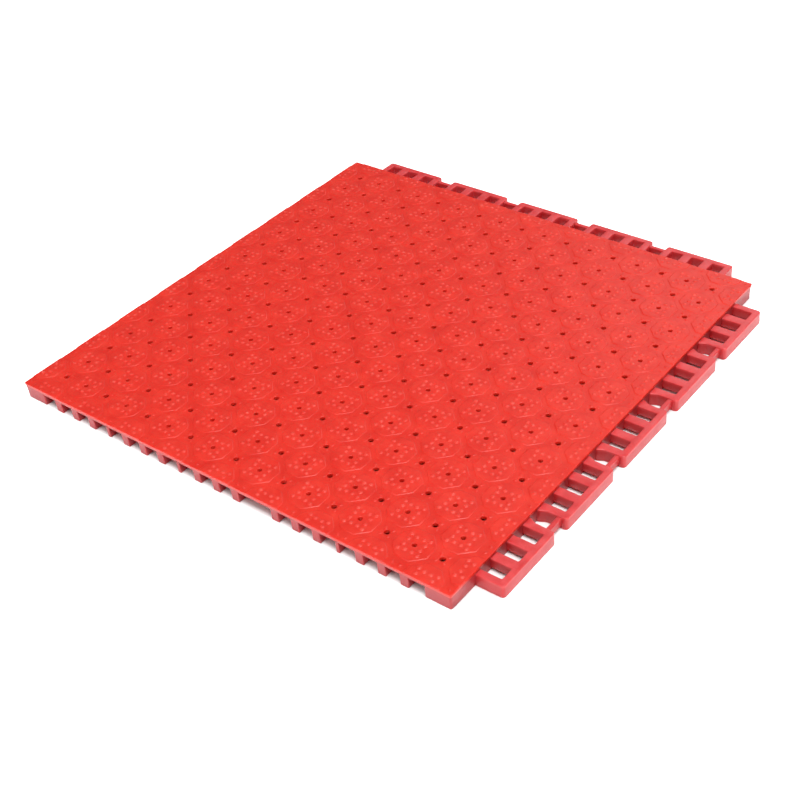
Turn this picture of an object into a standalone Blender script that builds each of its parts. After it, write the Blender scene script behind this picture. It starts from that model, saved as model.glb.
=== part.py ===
"""One interlocking drainage tile of an anti-fatigue floor, moulded in soft vinyl.

The deck is a square sheet with a square lattice of drainage holes. Two of its edges carry a
strip of flat lugs with sockets; the other two stand on pegs that drop into the sockets of the
next tile. The row frame has +Z up, the floor at z = 0 and its origin under the middle of the
whole outline. The lug strips are on the +X and +Y edges, the pegs on the -X and -Y edges.
"""
import math

import bmesh
import bpy
import numpy as np

# ---- Driving dimensions, in metres ----------------------------------------------------------
HOLE_PITCH = 0.022           # drainage holes, both ways
HOLES_PER_SIDE = 17
LUG_PITCH = 0.018            # sockets and pegs along an edge
TILE_HEIGHT = 0.014
SHEET_THICKNESS = 0.0034
JOIN_GAP = 0.0003            # the moulded features are separate solids this far apart

STUD_HOLE_DIAMETER = 0.0034  # hole in the middle of a raised octagon
GAP_HOLE_DIAMETER = 0.0041   # hole between four octagons
HOLE_SIDES = 6

WALL_THICKNESS = 0.006       # edge walls and corner walls
CORNER_WALL_LENGTH = 0.0204
PEG_WIDTH = 0.0067
PEG_DEPTH = 0.0080
SLIM_PEG_WIDTH = 0.0028
PEG_RAIL_HEIGHT = 0.0012
PEG_CORNER_BEVEL = 0.0009

LUG_REACH = 0.0212           # how far a lug strip stands out from the deck
LUG_HEIGHT = 0.0100
LUG_CORNER_RADIUS = 0.0025
LUG_EDGE_BEVEL = 0.0008
SOCKET_WIDTH = 0.0102
SOCKET_REACH = 0.0161
CROSS_BAR_BOTTOM = 0.0030    # the bars between sockets stop above the floor
TAB_END_WALL = 0.0032        # the part of a tab's end that reaches the floor
END_LUG_REACH = 9.6          # outer ends of the strip, in lug pitches from its middle
NOTCH_REACHES = (0.0, 0.0018, 0.0080, 0.0212)    # distances out from the deck, and half the
NOTCH_HALVES = (0.0038, 0.0042, 0.0062, 0.0068)  # gap between two tabs at each of them
LINK_INNER = 0.0150
LINK_OUTER = 0.0176
LINK_BOTTOM = 0.0030
LINK_TOP = 0.0084

FOOT_ROWS = 16
FEET_PER_ROW = 16
FOOT_WIDTH = 0.0070          # across the row
FOOT_LENGTH = 0.0080         # along the row
FOOT_RIB_HEIGHT = 0.0024

# ---- Sizes that follow ----------------------------------------------------------------------
DECK_SIDE = (HOLES_PER_SIDE + 1) * HOLE_PITCH
HALF = DECK_SIDE / 2
SHEET_BOTTOM = TILE_HEIGHT - SHEET_THICKNESS
UNDER_SHEET = SHEET_BOTTOM - JOIN_GAP
TAB_CENTRES = (-8, -4, 0, 4, 8)      # in lug pitches; each tab holds three sockets
LINK_CENTRES = (-6, -2, 2, 6)        # a low link closes the socket between two tabs
SLIM_PEGS = (-6, -2, 6)              # the peg at 2 is left out


# ---- Scene, materials and placing -----------------------------------------------------------
def clear_scene():
    for item in list(bpy.data.objects):
        bpy.data.objects.remove(item, do_unlink=True)


def vinyl(name, colour, roughness):
    """Soft PVC: a dense red plastic with a satin skin."""
    material = bpy.data.materials.new(name + "_vinyl")
    material.use_nodes = True
    shader = material.node_tree.nodes["Principled BSDF"]
    shader.inputs["Base Color"].default_value = (*colour, 1.0)
    shader.inputs["Roughness"].default_value = roughness
    shader.inputs["Metallic"].default_value = 0.0
    return material


DECK_RED = (0.80, 0.060, 0.045)
LUG_RED = (0.76, 0.065, 0.060)
UNDERSIDE_RED = (0.55, 0.030, 0.035)


def new_frame():
    """The empty at the middle of the deck, so that the outline's middle is the origin."""
    frame = bpy.data.objects.new("deck_middle", None)
    frame.location = (-LUG_REACH / 2, -LUG_REACH / 2, 0.0)
    bpy.context.collection.objects.link(frame)
    return frame


def place(bm, name, frame, colour, roughness=0.45, location=(0, 0, 0), turn=0.0):
    """Make the mesh one named object under the frame."""
    bmesh.ops.recalc_face_normals(bm, faces=bm.faces)
    mesh = bpy.data.meshes.new(name)
    bm.to_mesh(mesh)
    bm.free()
    mesh.materials.append(vinyl(name, colour, roughness))
    node = bpy.data.objects.new(name, mesh)
    node.parent = frame
    node.location = location
    node.rotation_euler = (0.0, 0.0, turn)
    bpy.context.collection.objects.link(node)
    return node


# ---- Mesh helpers ---------------------------------------------------------------------------
def add_outline(bm, points):
    return bm.faces.new([bm.verts.new(point) for point in points])


def extrude(bm, faces, offset):
    """Pull flat faces into a solid along the offset, and leave copies where they started."""
    result = bmesh.ops.extrude_face_region(bm, geom=faces, use_keep_orig=True)
    moved = [item for item in result["geom"] if isinstance(item, bmesh.types.BMVert)]
    bmesh.ops.translate(bm, verts=moved, vec=offset)
    return moved


def prism(outline, low, high):
    """A solid with a plan outline of (x, y) points between two heights."""
    bm = bmesh.new()
    base = add_outline(bm, [(x, y, low) for x, y in outline])
    extrude(bm, [base], (0.0, 0.0, high - low))
    return bm


def box(x_range, y_range, z_range):
    (x0, x1), (y0, y1) = x_range, y_range
    return prism([(x0, y0), (x1, y0), (x1, y1), (x0, y1)], *z_range)


def corner_arc(centre, radius, start, sweep, steps=3):
    """Points of a rounded plan corner."""
    angles = [start + sweep * step / steps for step in range(steps + 1)]
    return [(centre[0] + radius * math.cos(a), centre[1] + radius * math.sin(a)) for a in angles]


def bevel_edges(bm, edges, width, segments=1):
    bmesh.ops.bevel(bm, geom=edges, offset=width, offset_type="OFFSET", segments=segments,
                    profile=0.5, affect="EDGES", clamp_overlap=True)


# ---- Deck -----------------------------------------------------------------------------------
def half_hole(column, row, upper):
    """The upper or lower half of one hole's outline, left to right."""
    x = -HALF + column * HOLE_PITCH
    y = -HALF + row * HOLE_PITCH
    in_octagon = (column + row) % 2 == 1
    radius = (STUD_HOLE_DIAMETER if in_octagon else GAP_HOLE_DIAMETER) / 2
    half_sides = HOLE_SIDES // 2
    side = 1.0 if upper else -1.0
    angles = [math.pi * (1.0 - step / half_sides) for step in range(half_sides + 1)]
    return [(x + radius * math.cos(a), y + side * radius * math.sin(a)) for a in angles]


def row_line(row, upper):
    """The line through one row of holes, following their halves; plain at the deck's edges."""
    y = -HALF + row * HOLE_PITCH
    points = [(-HALF, y)]
    if 0 < row <= HOLES_PER_SIDE:
        for column in range(1, HOLES_PER_SIDE + 1):
            points += half_hole(column, row, upper)
    return points + [(HALF, y)]


def build_deck(frame):
    """The sheet is laid out as strips between the rows of holes, then pulled down."""
    bm = bmesh.new()
    for row in range(HOLES_PER_SIDE + 1):
        outline = row_line(row, True) + row_line(row + 1, False)[::-1]
        add_outline(bm, [(x, y, TILE_HEIGHT) for x, y in outline])
    bmesh.ops.remove_doubles(bm, verts=bm.verts, dist=0.00001)
    extrude(bm, bm.faces[:], (0.0, 0.0, -SHEET_THICKNESS))
    place(bm, "tread_deck", frame, DECK_RED, 0.42)


# ---- Feet under the deck --------------------------------------------------------------------
def build_foot_rows(frame):
    """Rows of feet on a shallow rib, midway between the rows of holes."""
    span = (FEET_PER_ROW - 1) * HOLE_PITCH
    notch_top = UNDER_SHEET - FOOT_RIB_HEIGHT
    profile = [(-span / 2 - FOOT_LENGTH / 2, UNDER_SHEET)]
    for foot in range(FEET_PER_ROW):
        x = -span / 2 + foot * HOLE_PITCH
        left, right = x - FOOT_LENGTH / 2, x + FOOT_LENGTH / 2
        if foot > 0:
            profile.append((left, notch_top))
        profile += [(left, 0.0), (right, 0.0)]
        if foot < FEET_PER_ROW - 1:
            profile.append((right, notch_top))
    profile.append((span / 2 + FOOT_LENGTH / 2, UNDER_SHEET))
    row_pitch = span / (FOOT_ROWS - 1)
    for row in range(FOOT_ROWS):
        bm = bmesh.new()
        face = add_outline(bm, [(x, -FOOT_WIDTH / 2, z) for x, z in profile])
        extrude(bm, [face], (0.0, FOOT_WIDTH, 0.0))
        y = -span / 2 + row * row_pitch
        place(bm, f"foot_row_{row + 1}", frame, UNDERSIDE_RED, 0.5, location=(0.0, y, 0.0))


# ---- Edge and corner walls ------------------------------------------------------------------
def build_walls(frame):
    inner = HALF - WALL_THICKNESS
    corner = HALF - CORNER_WALL_LENGTH
    heights = (0.0, UNDER_SHEET)
    walls = {
        "right_edge_wall": box((inner, HALF), (-HALF, HALF), heights),
        "back_edge_wall": box((-HALF, inner - JOIN_GAP), (inner, HALF), heights),
        "front_right_corner_wall": box((corner, inner - JOIN_GAP), (-HALF, -inner), heights),
        "back_left_corner_wall": box((-HALF, -inner), (corner, inner - JOIN_GAP), heights),
        "front_left_corner_wall": prism(
            [(-HALF, -HALF), (-corner, -HALF), (-corner, -inner), (-inner, -inner),
             (-inner, -corner), (-HALF, -corner)], *heights),
    }
    for name, bm in walls.items():
        place(bm, name, frame, LUG_RED)


# ---- Pegs -----------------------------------------------------------------------------------
def peg_group_profile():
    """Front view of three pegs that hang from one shallow rail."""
    rail_bottom = UNDER_SHEET - PEG_RAIL_HEIGHT
    half = PEG_WIDTH / 2
    points = [(-LUG_PITCH - half, UNDER_SHEET)]
    for place_in_group in (-1, 0, 1):
        x = place_in_group * LUG_PITCH
        if place_in_group > -1:
            points.append((x - half, rail_bottom))
        points += [(x - half, 0.0), (x + half, 0.0)]
        if place_in_group < 1:
            points.append((x + half, rail_bottom))
    return points + [(LUG_PITCH + half, UNDER_SHEET)]


def slim_peg_profile():
    half = SLIM_PEG_WIDTH / 2
    return [(-half, UNDER_SHEET), (-half, 0.0), (half, 0.0), (half, UNDER_SHEET)]


def peg_solid(profile, bevel):
    """Extrude a front view into the tile and take the sharpness off the upright edges."""
    bm = bmesh.new()
    face = add_outline(bm, [(x, 0.0, z) for x, z in profile])
    extrude(bm, [face], (0.0, PEG_DEPTH, 0.0))
    upright = [edge for edge in bm.edges
               if abs(edge.verts[0].co.z - edge.verts[1].co.z) > UNDER_SHEET / 2]
    bevel_edges(bm, upright, bevel)
    return bm


def build_pegs(frame, edge, turn):
    """One edge's pegs: five groups of three, with slim pegs between the groups.

    A peg group is drawn with its outer face on y = 0 and turned about the deck's middle.
    """
    mirrored = -1 if edge == "left" else 1
    groups = [("peg_group", centre, peg_group_profile(), PEG_CORNER_BEVEL)
              for centre in TAB_CENTRES]
    slims = [("slim_peg", centre, slim_peg_profile(), PEG_CORNER_BEVEL / 2)
             for centre in SLIM_PEGS]
    for family in (groups, slims):
        for number, (kind, centre, profile, bevel) in enumerate(family, start=1):
            along = mirrored * centre * LUG_PITCH
            location = (along * math.cos(turn) + HALF * math.sin(turn),
                        along * math.sin(turn) - HALF * math.cos(turn), 0.0)
            place(peg_solid(profile, bevel), f"{edge}_{kind}_{number}", frame, LUG_RED,
                  location=location, turn=turn)


# ---- Lug strips -----------------------------------------------------------------------------
def notch_half(reach):
    """Half the gap between two tabs, at a distance from the deck's edge."""
    return float(np.interp(reach, NOTCH_REACHES, NOTCH_HALVES))


def tab_end(centre, side, reach):
    """Where a tab ends along the strip, on one side of its centre."""
    if centre * side > 0 and abs(centre) == max(TAB_CENTRES):
        return side * END_LUG_REACH * LUG_PITCH
    return (centre + 2 * side) * LUG_PITCH - side * notch_half(reach)


def end_line(centre, side, thickness):
    """A line beside one end of a tab, from the deck out to the reach of the sockets."""
    reaches = (JOIN_GAP, *NOTCH_REACHES[1:-1], SOCKET_REACH)
    return [(reach, tab_end(centre, side, reach) - side * thickness) for reach in reaches]


def socket_edge(centre, offset, side):
    return (centre + offset) * LUG_PITCH + side * SOCKET_WIDTH / 2


def tab_frame(centre):
    """Plan of a tab's outer bar and its two end walls, which stand on the floor.

    x is the distance out from the deck's edge and y runs along the strip.
    """
    radius = LUG_CORNER_RADIUS
    low_end, high_end = tab_end(centre, -1, LUG_REACH), tab_end(centre, 1, LUG_REACH)
    points = end_line(centre, -1, 0.0)
    points += corner_arc((LUG_REACH - radius, low_end + radius), radius, -math.pi / 2, math.pi / 2)
    points += corner_arc((LUG_REACH - radius, high_end - radius), radius, 0.0, math.pi / 2)
    points += end_line(centre, 1, 0.0)[::-1] + end_line(centre, 1, TAB_END_WALL)
    points += [(SOCKET_REACH, socket_edge(centre, offset, side))
               for offset in (1, 0, -1) for side in (1, -1)]
    return points + end_line(centre, -1, TAB_END_WALL)[::-1]


def cross_bars(centre):
    """Plans of the four bars that bound a tab's three sockets."""
    bars = []
    for side in (-1, 1):
        edge = socket_edge(centre, side, side)
        bars.append(end_line(centre, side, TAB_END_WALL) + [(SOCKET_REACH, edge), (JOIN_GAP, edge)])
        low, high = sorted((socket_edge(centre, 0, side), socket_edge(centre, side, -side)))
        bars.append([(JOIN_GAP, low), (SOCKET_REACH, low), (SOCKET_REACH, high), (JOIN_GAP, high)])
    return bars


def tab_solid(centre):
    """The whole plan is pulled down to the bars' underside, and the frame on to the floor."""
    bm = bmesh.new()
    for outline in [tab_frame(centre)] + cross_bars(centre):
        add_outline(bm, [(x, y, LUG_HEIGHT) for x, y in outline])
    bmesh.ops.remove_doubles(bm, verts=bm.verts, dist=0.00001)
    extrude(bm, bm.faces[:], (0.0, 0.0, CROSS_BAR_BOTTOM - LUG_HEIGHT))
    standing = [face for face in bm.faces
                if all(abs(v.co.z - CROSS_BAR_BOTTOM) < JOIN_GAP for v in face.verts)
                and any(v.co.x > SOCKET_REACH + JOIN_GAP for v in face.verts)]
    extrude(bm, standing, (0.0, 0.0, -CROSS_BAR_BOTTOM))
    bmesh.ops.delete(bm, geom=standing, context="FACES_ONLY")
    outer_top = [edge for edge in bm.edges
                 if all(abs(v.co.z - LUG_HEIGHT) < JOIN_GAP and v.co.x > SOCKET_REACH + JOIN_GAP
                        for v in edge.verts)]
    bevel_edges(bm, outer_top, LUG_EDGE_BEVEL)
    return bm


def link_solid(centre):
    outline = []
    for reach, side in ((LINK_INNER, -1), (LINK_OUTER, -1), (LINK_OUTER, 1), (LINK_INNER, 1)):
        outline.append((reach, centre * LUG_PITCH + side * (notch_half(reach) - JOIN_GAP)))
    return prism(outline, LINK_BOTTOM, LINK_TOP)


def build_lug_strip(frame, edge, turn):
    """Five tabs and the four low links between them, out from one edge of the deck."""
    location = (HALF * math.cos(turn), HALF * math.sin(turn), 0.0)
    for number, centre in enumerate(TAB_CENTRES, start=1):
        place(tab_solid(centre), f"{edge}_lug_tab_{number}", frame, LUG_RED,
              location=location, turn=turn)
    for number, centre in enumerate(LINK_CENTRES, start=1):
        place(link_solid(centre), f"{edge}_lug_link_{number}", frame, LUG_RED,
              location=location, turn=turn)


def build_tile():
    clear_scene()
    frame = new_frame()
    build_deck(frame)
    build_foot_rows(frame)
    build_walls(frame)
    build_pegs(frame, "front", 0.0)
    build_pegs(frame, "left", -math.pi / 2)
    build_lug_strip(frame, "right", 0.0)
    build_lug_strip(frame, "back", math.pi / 2)


build_tile()
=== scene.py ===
import math

import bpy
import numpy as np
from mathutils import Matrix, Vector
from mathutils.geometry import delaunay_2d_cdt


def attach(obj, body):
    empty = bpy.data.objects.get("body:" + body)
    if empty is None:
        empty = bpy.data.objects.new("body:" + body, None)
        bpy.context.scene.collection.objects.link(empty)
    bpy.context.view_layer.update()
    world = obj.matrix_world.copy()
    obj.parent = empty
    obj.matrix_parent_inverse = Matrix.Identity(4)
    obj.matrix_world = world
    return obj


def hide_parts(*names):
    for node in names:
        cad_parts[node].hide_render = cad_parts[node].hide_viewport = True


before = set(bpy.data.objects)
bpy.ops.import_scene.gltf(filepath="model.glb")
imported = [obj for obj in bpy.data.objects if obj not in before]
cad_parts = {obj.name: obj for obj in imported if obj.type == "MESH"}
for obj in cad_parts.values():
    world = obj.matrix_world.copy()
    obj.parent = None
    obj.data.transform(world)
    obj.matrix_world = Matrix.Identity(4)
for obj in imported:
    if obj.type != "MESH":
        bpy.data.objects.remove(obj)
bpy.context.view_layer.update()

# An interlocking anti-fatigue tile, one moulding in soft red vinyl. Every shape below is drawn in
# millimetres from the middle of the deck, +Z up with the floor at 0, and placed once at the end.
DECK_MIDDLE = (-10.6, -10.6)
HALF = 198.0                 # half the deck's side
PITCH = 22.0                 # drainage holes, both ways
COUNT = 17                   # holes per row
LUG_PITCH = 18.0             # sockets and pegs along an edge
MILLIMETRE = 0.001           # in metres

# Tread relief
CHANNEL_Z = 13.40            # sheet between the raised octagons
PAD_Z = 13.80                # flat of a raised octagon
DOME_HEIGHT = 0.58           # round grip dots on an octagon
PETAL_HEIGHT = 0.44          # long grip dots round a hole between octagons
SHEET_BOTTOM = 10.6
PAD_FOOT, PAD_EDGE = 14.0, 13.08    # octagon apothem at the channel and at its flat
PAD_STEPS = 3
DOME_POWER = 1.5             # above 1, a dot flows out into the flat around it
DOT_RADIUS = 1.85
DOT_PLACES = ((7.48, 7.41), (2.62, 6.38), (6.38, 2.62))
PETAL_OUT, PETAL_LONG, PETAL_WIDE = 4.30, 1.70, 1.25
HOLE_RADII = (2.05, 1.70)    # between octagons, in an octagon
HOLE_RIM = 0.40
DECK_EDGE = 198.8            # the sheet's edge leans out a little more than the walls under it
LEAN = 0.035                 # how far outer walls lean out for each unit of height
DECK_ROUND = 0.55            # top edge of the deck
DECK_CORNER = 1.6            # its plan corners
SLOPE_REACH = 0.03           # half the distance over which the tread's slope is read
HOLE_SIDES, DOME_SIDES = 16, 8
HOLE_RINGS = (0.0, 0.3, 1.0)         # where the rim's curve is followed
DOME_RINGS = (1.04, 0.80, 0.45)      # the outermost lies just off the dome
EDGE_STEPS = 4


# ---- Meshes ---------------------------------------------------------------------------------
SHARP_ANGLE = math.radians(32)


def make_piece(name, points, faces, material, replaced, normals=()):
    """One closed mesh from points in millimetres, riding on the tile's body.

    The first faces may have a list of normals of their own, one for each corner in order.
    """
    mesh = bpy.data.meshes.new(name)
    where = (np.asarray(points, float) + (*DECK_MIDDLE, 0.0)) * MILLIMETRE
    mesh.from_pydata(where.tolist(), [], faces)
    mesh.update()
    mesh.materials.append(material)
    mesh.shade_smooth()
    mesh.set_sharp_from_angle(angle=SHARP_ANGLE)
    if len(normals):
        own = np.zeros((len(mesh.loops), 3))
        own[:len(normals)] = normals
        mesh.normals_split_custom_set(own.tolist())
    piece = bpy.data.objects.new(name, mesh)
    bpy.context.collection.objects.link(piece)
    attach(piece, "root")
    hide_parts(*replaced)
    return piece


def turned(points, degrees):
    """Points turned about the deck's middle in plan."""
    angle = math.radians(degrees)
    c, s = math.cos(angle), math.sin(angle)
    points = np.asarray(points, float)
    x, y = points[:, 0].copy(), points[:, 1].copy()
    return np.column_stack((c * x - s * y, s * x + c * y, points[:, 2]))


# ---- Tread ----------------------------------------------------------------------------------
def octagon_offset(x, y):
    """How far each point is from the middle of the octagon it belongs to."""
    a, b = (x + HALF) / PITCH, (y + HALF) / PITCH
    s = 2 * np.round((a + b - 1) / 2) + 1
    t = 2 * np.round((a - b - 1) / 2) + 1
    return (a - (s + t) / 2) * PITCH, (b - (s - t) / 2) * PITCH


def square_offset(x, y):
    """How far each point is from the nearest middle between four octagons."""
    a, b = (x + HALF) / PITCH, (y + HALF) / PITCH
    s = 2 * np.round((a + b) / 2)
    t = 2 * np.round((a - b) / 2)
    return (a - (s + t) / 2) * PITCH, (b - (s - t) / 2) * PITCH


def hole_clearance(x, y):
    """Distance from the rim of the nearest hole; negative inside a hole."""
    i, j = np.round((x + HALF) / PITCH), np.round((y + HALF) / PITCH)
    real = (i >= 1) & (i <= COUNT) & (j >= 1) & (j <= COUNT)
    radius = np.where((i + j) % 2 == 1, HOLE_RADII[1], HOLE_RADII[0])
    distance = np.hypot(x + HALF - i * PITCH, y + HALF - j * PITCH)
    return np.where(real, distance - radius, PITCH)


def tread_height(x, y):
    """Height of the moulded tread at each point of the plan."""
    u, v = (np.abs(w) for w in octagon_offset(x, y))
    apothem = np.maximum(np.maximum(u, v), (u + v) / math.sqrt(2))
    rise = np.clip((PAD_FOOT - apothem) / (PAD_FOOT - PAD_EDGE), 0, 1)
    z = CHANNEL_Z + (PAD_Z - CHANNEL_Z) * rise * rise * (3 - 2 * rise)
    for du, dv in DOT_PLACES:
        far = ((u - du) ** 2 + (v - dv) ** 2) / DOT_RADIUS ** 2
        z += DOME_HEIGHT * np.clip(1 - far, 0, 1) ** DOME_POWER
    u, v = (np.abs(w) for w in square_offset(x, y))
    out, across = (u + v) / math.sqrt(2) - PETAL_OUT, (u - v) / math.sqrt(2)
    far = (out / PETAL_LONG) ** 2 + (across / PETAL_WIDE) ** 2
    z += PETAL_HEIGHT * np.clip(1 - far, 0, 1) ** DOME_POWER
    t = np.clip(1 - hole_clearance(x, y) / HOLE_RIM, 0, 1)
    return z - HOLE_RIM * (1 - np.sqrt(1 - t * t))


def tread_normals(x, y):
    """Upright direction of the moulded tread at each point, from its slope."""
    d = SLOPE_REACH
    along_x = (tread_height(x + d, y) - tread_height(x - d, y)) / (2 * d)
    along_y = (tread_height(x, y + d) - tread_height(x, y - d)) / (2 * d)
    normals = np.column_stack((-along_x, -along_y, np.ones(len(x))))
    return normals / np.linalg.norm(normals, axis=1)[:, None]


def ring(centre, across, along, count, angle=0.0, start=0.0):
    """An ellipse, or a regular outline, as plan points."""
    turns = start + 2 * math.pi * np.arange(count) / count
    x, y = across * np.cos(turns), along * np.sin(turns)
    c, s = math.cos(angle), math.sin(angle)
    return np.column_stack((centre[0] + c * x - s * y, centre[1] + s * x + c * y))


def rounded_square(half, radius, steps):
    corners = []
    for quarter in range(4):
        angles = math.pi / 2 * (quarter + np.arange(steps + 1) / steps)
        middle = (half - radius) * np.array([(1, 1), (-1, 1), (-1, -1), (1, -1)][quarter])
        corners.append(middle + radius * np.column_stack((np.cos(angles), np.sin(angles))))
    return np.vstack(corners)


class Plan:
    """Outlines in plan that the triangles have to follow."""

    def __init__(self):
        self.points, self.edges = [], []

    def loop(self, outline):
        first, count = len(self.points), len(outline)
        self.points += [tuple(p) for p in outline]
        self.edges += [(first + k, first + (k + 1) % count) for k in range(count)]

    def dome(self, centre, across, along, angle=0.0):
        for part in DOME_RINGS:
            self.loop(ring(centre, across * part, along * part, DOME_SIDES, angle,
                           math.pi / DOME_SIDES))
        self.points.append(tuple(centre))

    def triangles(self):
        points, _, faces, *_ = delaunay_2d_cdt([Vector(p) for p in self.points], self.edges,
                                               [], 0, 0.00001, False)
        points = np.array([(p.x, p.y) for p in points])
        faces = np.array(faces)
        a, b, c = (points[faces[:, k]] for k in range(3))
        area = (b[:, 0] - a[:, 0]) * (c[:, 1] - a[:, 1]) - (b[:, 1] - a[:, 1]) * (c[:, 0] - a[:, 0])
        faces[area < 0] = faces[area < 0][:, ::-1]
        return points, faces[np.abs(area) > 1e-9]


def tread_plan():
    plan = Plan()
    edge = DECK_EDGE - DECK_ROUND
    plan.loop(rounded_square(edge, DECK_CORNER - DECK_ROUND, EDGE_STEPS))
    inside = edge - DOT_RADIUS
    for i in range(COUNT + 2):
        for j in range(COUNT + 2):
            x, y = i * PITCH - HALF, j * PITCH - HALF
            on_octagon = (i + j) % 2 == 1
            if 1 <= i <= COUNT and 1 <= j <= COUNT:
                for step in HOLE_RINGS:
                    radius = HOLE_RADII[on_octagon] + HOLE_RIM * step
                    plan.loop(ring((x, y), radius, radius, HOLE_SIDES))
            if on_octagon:
                for step in range(PAD_STEPS + 1):
                    apothem = PAD_FOOT + (PAD_EDGE - PAD_FOOT) * step / PAD_STEPS
                    corner = apothem / math.cos(math.pi / 8)
                    plan.loop(ring((x, y), corner, corner, 8, start=math.pi / 8))
                domes = [(sx * du, sy * dv, DOT_RADIUS, DOT_RADIUS, 0.0)
                         for du, dv in DOT_PLACES for sx in (1, -1) for sy in (1, -1)]
            else:
                reach = PETAL_OUT / math.sqrt(2)
                domes = [(sx * reach, sy * reach, PETAL_LONG, PETAL_WIDE, sx * sy * math.pi / 4)
                         for sx in (1, -1) for sy in (1, -1)]
            for du, dv, across, along, angle in domes:
                if max(abs(x + du), abs(y + dv)) < inside - 0.05:
                    plan.dome((x + du, y + dv), across, along, angle)
    return plan


def open_edges(faces):
    """Directed edges that only one triangle uses."""
    directed = np.vstack([faces[:, [0, 1]], faces[:, [1, 2]], faces[:, [2, 0]]])
    used = set(map(tuple, directed.tolist()))
    return [(a, b) for a, b in used if (b, a) not in used]


def build_tread(material):
    points, faces = tread_plan().triangles()
    middles = points[faces].mean(axis=1)
    edge = DECK_EDGE - DECK_ROUND
    kept = (hole_clearance(*middles.T) > 0) & (np.abs(middles).max(axis=1) < edge)
    core = DECK_EDGE - DECK_CORNER
    beyond = middles - np.clip(middles, -core, core)
    kept &= np.hypot(*beyond.T) < DECK_CORNER - DECK_ROUND + 1e-4
    faces = faces[kept]
    used, faces = np.unique(faces, return_inverse=True)
    faces = faces.reshape(-1, 3)
    points = points[used]
    vertices = [tuple(p) for p in np.column_stack((points, tread_height(*points.T)))]
    normals = tread_normals(*points[faces.ravel()].T)
    solid = faces.tolist()
    rim = open_edges(faces)
    lower = {}
    for corner in {a for a, _ in rim}:
        x, y, z = vertices[corner]
        if hole_clearance(x, y) < 0.01:
            chain = [(x, y, SHEET_BOTTOM)]
        else:
            out = np.array((x, y)) - np.clip((x, y), -core, core)
            out /= np.hypot(*out)
            chain = []
            for step in range(1, EDGE_STEPS + 1):
                angle = step * math.pi / 2 / EDGE_STEPS
                grow = DECK_ROUND * math.sin(angle)
                chain.append((x + out[0] * grow, y + out[1] * grow,
                              z - DECK_ROUND * (1 - math.cos(angle))))
            foot = HALF + LEAN * SHEET_BOTTOM - edge
            chain.append((x + out[0] * foot, y + out[1] * foot, SHEET_BOTTOM))
        lower[corner] = [corner] + list(range(len(vertices), len(vertices) + len(chain)))
        vertices += chain
    for a, b in rim:
        for (a0, a1), (b0, b1) in zip(zip(lower[a], lower[a][1:]), zip(lower[b], lower[b][1:])):
            solid.append([b0, a0, a1, b1])
    base = sorted({chain[-1] for chain in lower.values()})
    place = {vertex: k for k, vertex in enumerate(base)}
    under = Plan()
    under.points = [vertices[v][:2] for v in base]
    under.edges = [(place[lower[a][-1]], place[lower[b][-1]]) for a, b in rim]
    flat, triangles = under.triangles()
    middles = flat[triangles].mean(axis=1)
    for triangle in triangles[hole_clearance(*middles.T) > 0].tolist():
        solid.append([base[k] for k in triangle[::-1]])
    return make_piece("tread", vertices, solid, material, ["tread_deck"],
                      normals=normals)


# ---- Rounded solids -------------------------------------------------------------------------
def fillet(corners, steps=5):
    """(x, y, corner radius, edge rounding) corners, each turned into an arc.

    The edge rounding belongs to the edge that starts at the corner.
    """
    points, rounding = [], []
    count = len(corners)
    for k, (x, y, radius, edge) in enumerate(corners):
        here = np.array((x, y))
        if radius == 0:
            points.append(here)
            rounding.append(edge)
            continue
        before = np.array(corners[k - 1][:2]) - here
        after = np.array(corners[(k + 1) % count][:2]) - here
        before, after = before / np.hypot(*before), after / np.hypot(*after)
        half = math.acos(np.clip(before @ after, -1, 1)) / 2
        middle = here + (before + after) / np.hypot(*(before + after)) * radius / math.sin(half)
        start = here + before * radius / math.tan(half) - middle
        end = here + after * radius / math.tan(half) - middle
        a0, a1 = math.atan2(start[1], start[0]), math.atan2(end[1], end[0])
        sweep = (a1 - a0 + math.pi) % (2 * math.pi) - math.pi
        last = corners[k - 1][3]
        for step in range(steps + 1):
            angle = a0 + sweep * step / steps
            points.append(middle + radius * np.array((math.cos(angle), math.sin(angle))))
            rounding.append(last + (edge - last) * step / steps)
    return np.array(points), np.array(rounding)


def inset(points, distances):
    """Each edge of a counter-clockwise outline moved inwards by its own distance."""
    along = np.roll(points, -1, axis=0) - points
    along /= np.hypot(*along.T)[:, None]
    inward = np.column_stack((-along[:, 1], along[:, 0]))
    reach = (inward * points).sum(axis=1) + distances
    n0, c0 = np.roll(inward, 1, axis=0), np.roll(reach, 1)
    n1, c1 = inward, reach
    cross = n0[:, 0] * n1[:, 1] - n0[:, 1] * n1[:, 0]
    straight = np.abs(cross) < 1e-3
    safe = np.where(straight, 1.0, cross)
    met = np.column_stack(((c0 * n1[:, 1] - c1 * n0[:, 1]) / safe,
                           (n0[:, 0] * c1 - n1[:, 0] * c0) / safe))
    slid = points + n1 * ((distances + np.roll(distances, 1)) / 2)[:, None]
    return np.where(straight[:, None], slid, met)


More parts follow.
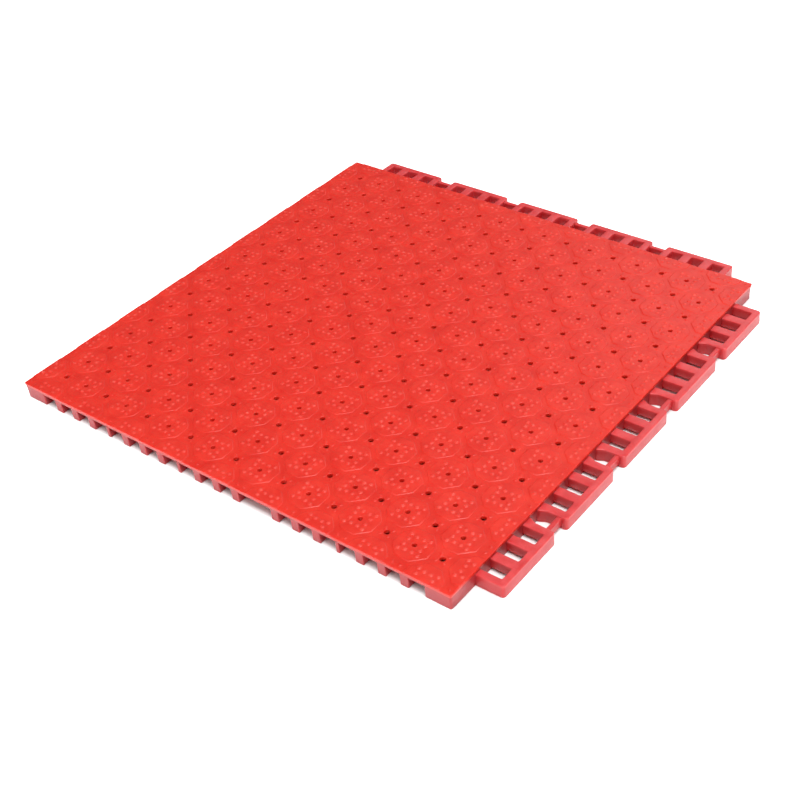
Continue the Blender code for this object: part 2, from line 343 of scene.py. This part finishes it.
def loft(outline, rounding, low, high, low_rounding=0.0, draft=0.0, steps=4):
    """A solid between two levels. The upper edges are rounded edge by edge, the lower ones alike.

    Returns (x, y, level) points and faces; draft is how much each side leans in by the top.
    """
    count = len(outline)
    turns = [math.pi / 2 * step / steps for step in range(steps + 1)]
    below = np.minimum(low_rounding, rounding)
    lean = np.where(rounding > 0, draft, 0.0)
    rings = [(below * (1 - math.sin(turn)), low + below * (1 - math.cos(turn)), np.maximum)
             for turn in turns]
    rings += [(lean + rounding * (1 - math.cos(turn)), high - rounding * (1 - math.sin(turn)),
               np.minimum) for turn in turns]
    levels = []
    for distances, heights, meet in rings:
        level = np.column_stack((inset(outline, distances), meet(heights, np.roll(heights, 1))))
        if not levels or np.abs(level - levels[-1]).max() > 1e-6:
            levels.append(level)
    faces = [list(range(count))[::-1], list(range((len(levels) - 1) * count, len(levels) * count))]
    for base in range(0, (len(levels) - 1) * count, count):
        for m in range(count):
            n = (m + 1) % count
            faces.append([base + m, base + n, base + count + n, base + count + m])
    return np.vstack(levels), faces


def upright(points):
    """A loft drawn as a front view (across, height, depth), stood up as (across, depth, height)."""
    return points[:, [0, 2, 1]]


def flipped(faces):
    return [face[::-1] for face in faces]


# ---- Lug strips -----------------------------------------------------------------------------
LUG_REACH = 21.2
LUG_TOP = 10.0
SOCKET_HALF = 5.1
SOCKET_REACH = 16.1
STRIP_END = 172.8
TAB_CENTRES = (-8, -4, 0, 4, 8)
LINK_CENTRES = (-6, -2, 2, 6)
LUG_CORNER = 2.5
OUTER_ROUND, SOCKET_ROUND = 0.8, 0.55
LUG_DRAFT = 0.12
UNDERCUT_TOP = 3.0           # the bars between sockets stop above the floor
UNDERCUT_REACH = 15.7
END_WALL = 3.2               # the part of a tab's end that does reach it
LINK_REACH, LINK_LEVELS = (13.5, 16.9), (2.4, 9.0)
BURIED = 0.05                # how far a feature runs into the one it grows from
NOTCH_HALF, NOTCH_FLARE, NOTCH_FLARE_REACH, NOTCH_TAPER = 3.8, 2.4, 6.8, 0.5
TAB_REACHES = [-BURIED] + [0.9 * step for step in range(1, 12)] + [14.0]
CUT_REACHES = [-2.0] + [1.6 * step for step in range(1, 9)] + [UNDERCUT_REACH]
CUT_FLOOR = -2.0             # the cutting solid starts below the tab
FOOT_ROUND = 0.3             # lower edges
SOCKET_CORNER = 0.7
LINK_ROUND, LINK_OVERLAP = 0.7, 0.2


def notch_half(reach):
    """Half the gap between two tabs: it widens out of the deck, then hardly any more."""
    t = min(max(reach / NOTCH_FLARE_REACH, 0.0), 1.0)
    return NOTCH_HALF + NOTCH_FLARE * t * t * (3 - 2 * t) + NOTCH_TAPER * reach / LUG_REACH


def tab_end(centre, side, reach):
    if abs(centre) == TAB_CENTRES[-1] and centre * side > 0:
        return side * STRIP_END
    return (centre + 2 * side) * LUG_PITCH - side * notch_half(reach)


def end_line(centre, side, reaches, thickness=0.0):
    """Points beside one end of a tab."""
    return [(reach, tab_end(centre, side, reach) - side * thickness) for reach in reaches]


def undercut(piece, points, faces):
    """Take a solid away from a piece."""
    mesh = bpy.data.meshes.new("cutter")
    mesh.from_pydata(points.tolist(), [], faces)
    cutter = bpy.data.objects.new("cutter", mesh)
    bpy.context.collection.objects.link(cutter)
    cut = piece.modifiers.new("undercut", "BOOLEAN")
    cut.operation, cut.solver, cut.object = "DIFFERENCE", "EXACT", cutter
    whole = piece.data
    seen = piece.evaluated_get(bpy.context.evaluated_depsgraph_get())
    piece.data = bpy.data.meshes.new_from_object(seen)
    piece.modifiers.remove(cut)
    bpy.data.objects.remove(cutter)
    bpy.data.meshes.remove(mesh)
    bpy.data.meshes.remove(whole)


def build_tab(name, centre, angle, material):
    """A flat tab with three sockets, like a comb that grows from the deck's wall."""
    corners = [(*point, 0, OUTER_ROUND) for point in end_line(centre, -1, TAB_REACHES)]
    corners += [(*end_line(centre, side, [LUG_REACH])[0], LUG_CORNER, OUTER_ROUND)
                for side in (-1, 1)]
    corners += [(*point, 0, OUTER_ROUND) for point in end_line(centre, 1, TAB_REACHES)[::-1]]
    corners[-1] = (*corners[-1][:3], 0.0)
    for offset in (1, 0, -1):
        middle = (centre + offset) * LUG_PITCH
        for reach, side in ((-BURIED, 1), (SOCKET_REACH, 1), (SOCKET_REACH, -1), (-BURIED, -1)):
            at_deck = reach < 0
            corners.append((reach, middle + side * SOCKET_HALF, 0 if at_deck else SOCKET_CORNER,
                            0.0 if at_deck and side < 0 else SOCKET_ROUND))
    outline, rounding = fillet(corners)
    points, faces = loft(outline, rounding, 0.0, LUG_TOP, FOOT_ROUND, LUG_DRAFT)
    points[:, 0] += HALF
    piece = make_piece(name + "_vinyl", turned(points, angle), faces, material, [name])

    cutter = end_line(centre, -1, CUT_REACHES, END_WALL)
    cutter += end_line(centre, 1, CUT_REACHES, END_WALL)[::-1]
    points, faces = loft(np.array(cutter), np.zeros(len(cutter)), CUT_FLOOR, UNDERCUT_TOP)
    points[:, 0] += HALF
    points = (turned(points, angle) + (*DECK_MIDDLE, 0.0)) * MILLIMETRE
    undercut(piece, points, faces)
    return piece


def build_link(name, centre, angle, material):
    """The low thin wall that joins two tabs across their notch."""
    (inner, outer), middle = LINK_REACH, centre * LUG_PITCH
    corners = [(reach, middle + side * (notch_half(reach) + LINK_OVERLAP), 0, edge)
               for reach, side, edge in ((inner, -1, 0.0), (outer, -1, LINK_ROUND),
                                         (outer, 1, 0.0), (inner, 1, LINK_ROUND))]
    outline, rounding = fillet(corners)
    points, faces = loft(outline, rounding, *LINK_LEVELS, FOOT_ROUND)
    points[:, 0] += HALF
    return make_piece(name + "_vinyl", turned(points, angle), faces, material, [name])


def build_lug_strip(edge, angle, material):
    for number, centre in enumerate(TAB_CENTRES, start=1):
        build_tab(f"{edge}_lug_tab_{number}", centre, angle, material)
    for number, centre in enumerate(LINK_CENTRES, start=1):
        build_link(f"{edge}_lug_link_{number}", centre, angle, material)


# ---- Pegs, walls and feet -------------------------------------------------------------------
WALL = 6.0
CORNER_WALL = 20.4           # length of a corner wall
PEG_DEPTH = 8.0
PEG_HALF, SLIM_PEG_HALF = 3.35, 1.4
RAIL_BOTTOM = 9.6
JOINED_TOP = SHEET_BOTTOM + BURIED
PEG_ROUND, PEG_TOE = 0.6, 0.8
SLIM_PEGS = (-6, -2, 6)      # the slim peg at 2 is missing
PEG_BACK_ROUND, PEG_GUSSET = 0.4, 0.5
SLIM_PEG_TOE, SLIM_PEG_ROUND = 0.5, 0.45
SOFT_ROUND = 0.3             # an edge that runs into the next feature
WALL_TOE = 0.6               # a wall's edge at the floor
CUT_CORNER, INNER_CORNER = 1.2, 0.5  # the ends of a corner wall, outside and inside
FOOT_ROWS = 16
FOOT_HALF, FOOT_DEPTH, FOOT_TOE, FOOT_EDGE, FOOT_GUSSET = 4.0, 7.0, 0.9, 0.7, 1.2
RIB_HEIGHT = 2.7             # of the rib between feet, below the sheet


def front_view(legs, half, notch_top, toe, edge, gusset, rail_ends=None):
    """Corners of a row of legs hung from a rail, counter-clockwise from the front.

    The rail stops at the outer legs, or runs on to its own two ends.
    """
    corners = []
    for k, x in enumerate(legs):
        if k or rail_ends:
            corners.append((x - half, notch_top, gusset, edge))
        else:
            corners.append((x - half, JOINED_TOP, 0, edge))
        corners += [(x - half, 0.0, toe, edge), (x + half, 0.0, toe, edge)]
        if k < len(legs) - 1 or rail_ends:
            corners.append((x + half, notch_top, gusset, min(edge, SOFT_ROUND)))
        else:
            corners.append((x + half, JOINED_TOP, 0, 0.0))
    if rail_ends:
        low, high = rail_ends
        first = (low, notch_top, 0, min(edge, SOFT_ROUND))
        corners = [(low, JOINED_TOP, 0, BURIED), first] + corners
        corners += [(high, notch_top, 0, BURIED), (high, JOINED_TOP, 0, 0.0)]
    return corners


def standing_row(corners, depth, back_rounding, steps=4):
    """A front view given a depth, with its front at y = 0 and its front edges rounded."""
    outline, rounding = fillet(corners, steps)
    points, faces = loft(outline, rounding, -depth, 0.0, back_rounding, steps=steps)
    points[:, 2] *= -1
    return upright(points), faces


def leaning(points):
    """The tile's outer faces lean out towards the top."""
    points = np.array(points)
    for axis in (0, 1):
        outer = np.abs(points[:, axis]) > HALF - 1.0
        points[outer, axis] += np.sign(points[outer, axis]) * LEAN * points[outer, 2]
    return points


def build_pegs(edge, material):
    """Pegs under one edge: groups of three on a shallow rail, slim ones between the groups."""
    rail = 2 * LUG_PITCH
    limit = HALF - CORNER_WALL + 2 * BURIED
    groups, slims = [], []
    for centre in TAB_CENTRES:
        middle = centre * LUG_PITCH
        ends = [min(max(middle + side * rail, -limit), limit) - middle for side in (-1, 1)]
        if edge == "left":
            ends = [-ends[1], -ends[0]]
        view = front_view((-LUG_PITCH, 0.0, LUG_PITCH), PEG_HALF, RAIL_BOTTOM, PEG_TOE, PEG_ROUND,
                          PEG_GUSSET, ends)
        groups.append(("peg_group", centre, view))
    for centre in SLIM_PEGS:
        view = front_view((0.0,), SLIM_PEG_HALF, 0, SLIM_PEG_TOE, SLIM_PEG_ROUND, 0)
        slims.append(("slim_peg", centre, view))
    for family in (groups, slims):
        for number, (kind, centre, corners) in enumerate(family, start=1):
            points, faces = standing_row(corners, PEG_DEPTH, PEG_BACK_ROUND)
            along = centre * LUG_PITCH * (1 if edge == "front" else -1)
            points = points + (along, -HALF, 0.0)
            name = f"{edge}_{kind}_{number}"
            points = turned(points, 0 if edge == "front" else -90)
            make_piece(name + "_vinyl", leaning(points), faces, material, [name])


def build_walls(material):
    """Walls on the floor under the deck's edges; each edge has its own rounding at the floor."""
    inner, corner, joint = HALF - WALL, HALF - CORNER_WALL, HALF - WALL + BURIED
    bend, toe, cut, inside = DECK_CORNER, WALL_TOE, CUT_CORNER, INNER_CORNER
    walls = {
        "right_edge_wall": [(inner, -HALF, 0, toe), (HALF, -HALF, bend, toe),
                            (HALF, HALF, bend, toe), (inner, HALF, 0, 0.0)],
        "back_edge_wall": [(-HALF, inner, 0, 0.0), (joint, inner, 0, 0.0), (joint, HALF, 0, toe),
                           (-HALF, HALF, bend, toe)],
        "front_right_corner_wall": [(corner, -HALF, cut, toe), (joint, -HALF, 0, 0.0),
                                    (joint, -inner, 0, toe), (corner, -inner, inside, toe)],
        "back_left_corner_wall": [(-HALF, corner, cut, toe), (-inner, corner, inside, toe),
                                  (-inner, joint, 0, 0.0), (-HALF, joint, 0, toe)],
        "front_left_corner_wall": [(-HALF, -HALF, bend, toe), (-corner, -HALF, cut, toe),
                                   (-corner, -inner, inside, toe), (-inner, -inner, 1.0, toe),
                                   (-inner, -corner, inside, toe), (-HALF, -corner, cut, toe)],
    }
    for name, plan in walls.items():
        outline, rounding = fillet(plan, steps=4)
        points, faces = loft(outline, rounding, -JOINED_TOP, 0.0)
        points[:, 2] *= -1
        make_piece(name + "_vinyl", leaning(points), flipped(faces), material,
                   [name])


def build_feet(material):
    """Rows of feet on a shallow rib, midway between the rows of holes."""
    places = [(k - (FOOT_ROWS - 1) / 2) * PITCH for k in range(FOOT_ROWS)]
    corners = front_view(places, FOOT_HALF, SHEET_BOTTOM - RIB_HEIGHT, FOOT_TOE, FOOT_EDGE,
                         FOOT_GUSSET)
    for row, y in enumerate(places, start=1):
        points, faces = standing_row(corners, FOOT_DEPTH, FOOT_EDGE, steps=2)
        points = points + (0.0, y - FOOT_DEPTH / 2, 0.0)
        name = f"foot_row_{row}"
        make_piece(name + "_vinyl", points, faces, material, [name])


# ---- Vinyl ----------------------------------------------------------------------------------
CLOUD, SPECK, PORE, SWIRL = 70.0, 420.0, 1500.0, 90.0   # noise, in patches per metre or so
SHADE_SHARE = 0.55            # how much of the deep colour shows low down, as painted shade
HIGHLIGHT_SHARES = (0.35, 0.85)    # how much of the lighter colour shows high up, as a painted highlight
GLOSS_RANGE = (-0.05, 0.07)
LUMP_HEIGHT, PORE_DEPTH = 0.00036, 0.00005
LUMP_STRENGTH, PORE_STRENGTH = 0.35, 0.4
SCATTER_WEIGHT, SCATTER_SCALE, SCATTER_RADIUS = 0.4, 0.004, (1.0, 0.08, 0.06)
VINYL_IOR = 1.5


def node(tree, kind, **settings):
    made = tree.nodes.new(kind)
    for key, value in settings.items():
        setattr(made, key, value)
    return made


def noise(tree, where, scale, detail=2.0, roughness=0.5, distortion=0.0):
    made = node(tree, "ShaderNodeTexNoise")
    made.inputs["Scale"].default_value = scale
    made.inputs["Detail"].default_value = detail
    made.inputs["Roughness"].default_value = roughness
    made.inputs["Distortion"].default_value = distortion
    tree.links.new(where, made.inputs["Vector"])
    return made.outputs["Fac"]


def span(tree, value, low, high, to_low=0.0, to_high=1.0, smooth=False):
    """The value between low and high, mapped onto another range."""
    made = node(tree, "ShaderNodeMapRange", clamp=True,
                interpolation_type="SMOOTHSTEP" if smooth else "LINEAR")
    for key, number in (("From Min", low), ("From Max", high), ("To Min", to_low),
                        ("To Max", to_high)):
        made.inputs[key].default_value = number
    tree.links.new(value, made.inputs["Value"])
    return made.outputs["Result"]


def blend(tree, amount, first, second):
    """A colour between two; each may be a socket or a colour."""
    made = node(tree, "ShaderNodeMix", data_type="RGBA")
    tree.links.new(amount, made.inputs["Factor"])
    for key, colour in (("A", first), ("B", second)):
        socket = next(s for s in made.inputs if s.identifier == key + "_Color")
        if isinstance(colour, bpy.types.NodeSocket):
            tree.links.new(colour, socket)
        else:
            socket.default_value = (*colour, 1.0)
    return next(s for s in made.outputs if s.identifier == "Result_Color")


def arithmetic(tree, operation, *values):
    """One operation on one or two values, each a socket or a number."""
    made = node(tree, "ShaderNodeMath", operation=operation)
    for socket, value in zip(made.inputs, values):
        if isinstance(value, bpy.types.NodeSocket):
            tree.links.new(value, socket)
        else:
            socket.default_value = value
    return made.outputs[0]


def vinyl(name, red, deep, painted_highlight, gloss, grain, levels):
    """Soft moulded PVC: uneven pigment, a fine matt grain, painted shade low down, and a painted
    highlight on whatever stands proud.

    levels are the heights, in metres, between which the vinyl goes from its deep colour, as painted
    shade, to its lighter colour, as a painted highlight.
    """
    material = bpy.data.materials.new(name)
    material.use_nodes = True
    tree = material.node_tree
    shader = tree.nodes["Principled BSDF"]
    where = node(tree, "ShaderNodeTexCoord").outputs["Object"]
    height = node(tree, "ShaderNodeSeparateXYZ")
    tree.links.new(where, height.inputs[0])
    cloud = noise(tree, where, CLOUD, 4.0, 0.6)
    speck = noise(tree, where, SPECK, 2.0, 0.6)
    pores = noise(tree, where, PORE, 2.0, 0.6)
    swirl = noise(tree, where, SWIRL, 4.0, 0.6, 0.6)

    colour = blend(tree, span(tree, cloud, 0.35, 0.65), deep, red)
    # Painted shade: the deep colour low down, in the drain holes and sockets and at the foot of
    # walls, pegs and feet.
    painted_shade_share = span(tree, height.outputs["Z"], levels[0], levels[1], SHADE_SHARE, 0.0, True)
    colour = blend(tree, painted_shade_share, colour, deep)
    # Painted highlight: a lighter colour high up, unevenly, on the grip dots and up the walls, pegs
    # and bars.
    proud = span(tree, height.outputs["Z"], levels[1], levels[2], 0.0, 1.0, True)
    highlight_share = arithmetic(tree, "MULTIPLY", proud, span(tree, swirl, 0.38, 0.66, *HIGHLIGHT_SHARES))
    colour = blend(tree, highlight_share, colour, painted_highlight)
    tree.links.new(colour, shader.inputs["Base Color"])

    rough = span(tree, swirl, 0.3, 0.7, *(gloss + step for step in GLOSS_RANGE))
    tree.links.new(rough, shader.inputs["Roughness"])
    shader.inputs["IOR"].default_value = VINYL_IOR
    shader.inputs["Subsurface Weight"].default_value = SCATTER_WEIGHT
    shader.inputs["Subsurface Radius"].default_value = SCATTER_RADIUS
    shader.inputs["Subsurface Scale"].default_value = SCATTER_SCALE
    shader.inputs["Metallic"].default_value = 0.0

    lumps = node(tree, "ShaderNodeBump")
    lumps.inputs["Strength"].default_value = LUMP_STRENGTH
    lumps.inputs["Distance"].default_value = LUMP_HEIGHT * grain
    tree.links.new(speck, lumps.inputs["Height"])
    fine = node(tree, "ShaderNodeBump")
    fine.inputs["Strength"].default_value = PORE_STRENGTH
    fine.inputs["Distance"].default_value = PORE_DEPTH * grain
    tree.links.new(pores, fine.inputs["Height"])
    tree.links.new(lumps.outputs["Normal"], fine.inputs["Normal"])
    tree.links.new(fine.outputs["Normal"], shader.inputs["Normal"])
    return material


# ---- Studio ---------------------------------------------------------------------------------
WORLD_STRENGTH = 0.22
# name, place in metres, side in metres, watts; each is aimed at the tile's middle
LIGHTS = (("softbox", (1.19, -0.63, 3.08), 2.3, 145.0),
          ("backlight", (-0.25, 1.81, 1.23), 1.2, 6.0),
          ("front_fill", (-0.30, -1.90, 1.00), 1.0, 9.0))
FLOOR_SIDE = 28.0
FLOOR_DROP = 0.0002          # so that the feet and the floor don't flicker
PAPER = 0.85
FLOOR_GLOW = 0.85            # emission that keeps the paper white beside the tile
OUTLINE_GLOW = (0.204, 0.214)    # from the middle, where the glow starts and is full
EDGE_GLOW = (0.1985, 0.2045)     # the same at the deck's edge, past the ends of the strips
STRIP_ENDS = (0.175, 0.181)
EYE, AIM, ROLL = (0.5451, -0.64685, 0.60339), (0.04558, -0.07501, 0.014), -5.5094
LENS = 60.656


def area_light(name, location, side, power):
    data = bpy.data.lights.new(name, "AREA")
    data.shape = "SQUARE"
    data.size = side
    data.energy = power
    light = bpy.data.objects.new(name, data)
    light.location = location
    light.rotation_euler = (-Vector(location)).to_track_quat("-Z", "Y").to_euler()
    bpy.context.collection.objects.link(light)


def floor_glow(tree):
    """A glow beside the tile, and none under it or in its sockets: painted light that keeps the
    paper white and lights the tile from below.

    It starts at the tile's outline, and at the deck's own edge past the ends of the lug strips; its
    ramp up to full glow paints a soft shadow on the floor along the tile.
    """
    place = node(tree, "ShaderNodeSeparateXYZ")
    tree.links.new(node(tree, "ShaderNodeTexCoord").outputs["Object"], place.inputs[0])

    def from_middle(middle):
        offsets = [arithmetic(tree, "SUBTRACT", place.outputs[axis], middle) for axis in "XY"]
        return [arithmetic(tree, "ABSOLUTE", offset) for offset in offsets]

    outline, deck = from_middle(0.0), from_middle(DECK_MIDDLE[0] * MILLIMETRE)
    beside = span(tree, arithmetic(tree, "MAXIMUM", *outline), *OUTLINE_GLOW, smooth=True)
    past_edge = span(tree, arithmetic(tree, "MAXIMUM", *deck), *EDGE_GLOW, smooth=True)
    past_strip = span(tree, arithmetic(tree, "MINIMUM", *deck), *STRIP_ENDS, smooth=True)
    lit = arithmetic(tree, "MAXIMUM", beside, arithmetic(tree, "MULTIPLY", past_edge, past_strip))
    return arithmetic(tree, "MULTIPLY", lit, FLOOR_GLOW)


def build_studio():
    scene = bpy.context.scene
    scene.view_settings.view_transform = "Standard"
    world = bpy.data.worlds.new("studio")
    world.use_nodes = True
    world.node_tree.nodes["Background"].inputs["Color"].default_value = (1.0, 1.0, 1.0, 1.0)
    world.node_tree.nodes["Background"].inputs["Strength"].default_value = WORLD_STRENGTH
    scene.world = world
    for settings in LIGHTS:
        area_light(*settings)

    side = FLOOR_SIDE / 2
    mesh = bpy.data.meshes.new("floor")
    mesh.from_pydata([(-side, -side, 0), (side, -side, 0), (side, side, 0), (-side, side, 0)],
                     [], [(0, 1, 2, 3)])
    paper = bpy.data.materials.new("paper")
    paper.use_nodes = True
    shader = paper.node_tree.nodes["Principled BSDF"]
    shader.inputs["Base Color"].default_value = (PAPER, PAPER, PAPER, 1.0)
    shader.inputs["Roughness"].default_value = 0.9
    shader.inputs["Specular IOR Level"].default_value = 0.1
    shader.inputs["Emission Color"].default_value = (1.0, 1.0, 1.0, 1.0)
    tree = paper.node_tree
    glow = floor_glow(tree)
    tree.links.new(glow, shader.inputs["Emission Strength"])
    mesh.materials.append(paper)
    floor = bpy.data.objects.new("floor", mesh)
    floor.location.z = -FLOOR_DROP
    bpy.context.collection.objects.link(floor)


def build_camera():
    """Eye above the front right, a little rolled, on a portrait lens."""
    data = bpy.data.cameras.new("camera")
    data.sensor_width = 36.0
    data.lens = LENS
    data.clip_start, data.clip_end = 0.01, 60.0
    camera = bpy.data.objects.new("camera", data)
    location, aim = Vector(EYE), Vector(AIM)
    look = (aim - location).to_track_quat("-Z", "Y").to_matrix().to_4x4()
    roll = Matrix.Rotation(math.radians(ROLL), 4, "Z")
    camera.matrix_world = Matrix.Translation(location) @ look @ roll
    bpy.context.collection.objects.link(camera)
    bpy.context.scene.camera = camera


# The tile is one red vinyl. The edge copy, on the walls and pegs, and the lug copy, on the lug
# strips, are darker than the tread's, as painted shade, and lean to blue, as a painted reflection
# of the white floor.
tread_vinyl = vinyl("tread_vinyl", (0.670, 0.0270, 0.0130), (0.580, 0.0160, 0.0070),
                    (0.750, 0.0720, 0.0520), 0.40, 1.0, (0.0118, 0.0137, 0.0143))
edge_vinyl = vinyl("edge_vinyl", (0.370, 0.0130, 0.0170), (0.330, 0.0100, 0.0140),
                   (0.430, 0.0250, 0.0290), 0.42, 1.0, (0.0, 0.0006, 0.014))
lug_vinyl = vinyl("lug_vinyl", (0.510, 0.0250, 0.0290), (0.460, 0.0120, 0.0150),
                  (0.650, 0.0720, 0.0760), 0.36, 1.0, (0.0, 0.0070, 0.0101))
underside_vinyl = vinyl("underside_vinyl", (0.620, 0.0180, 0.0150), (0.560, 0.0130, 0.0110),
                        (0.680, 0.0320, 0.0280), 0.52, 1.3, (0.0, 0.0004, 0.0140))

build_tread(tread_vinyl)
build_pegs("front", edge_vinyl)
build_pegs("left", edge_vinyl)
build_walls(edge_vinyl)
build_lug_strip("right", 0, lug_vinyl)
build_lug_strip("back", 90, lug_vinyl)
build_feet(underside_vinyl)
build_studio()
build_camera()
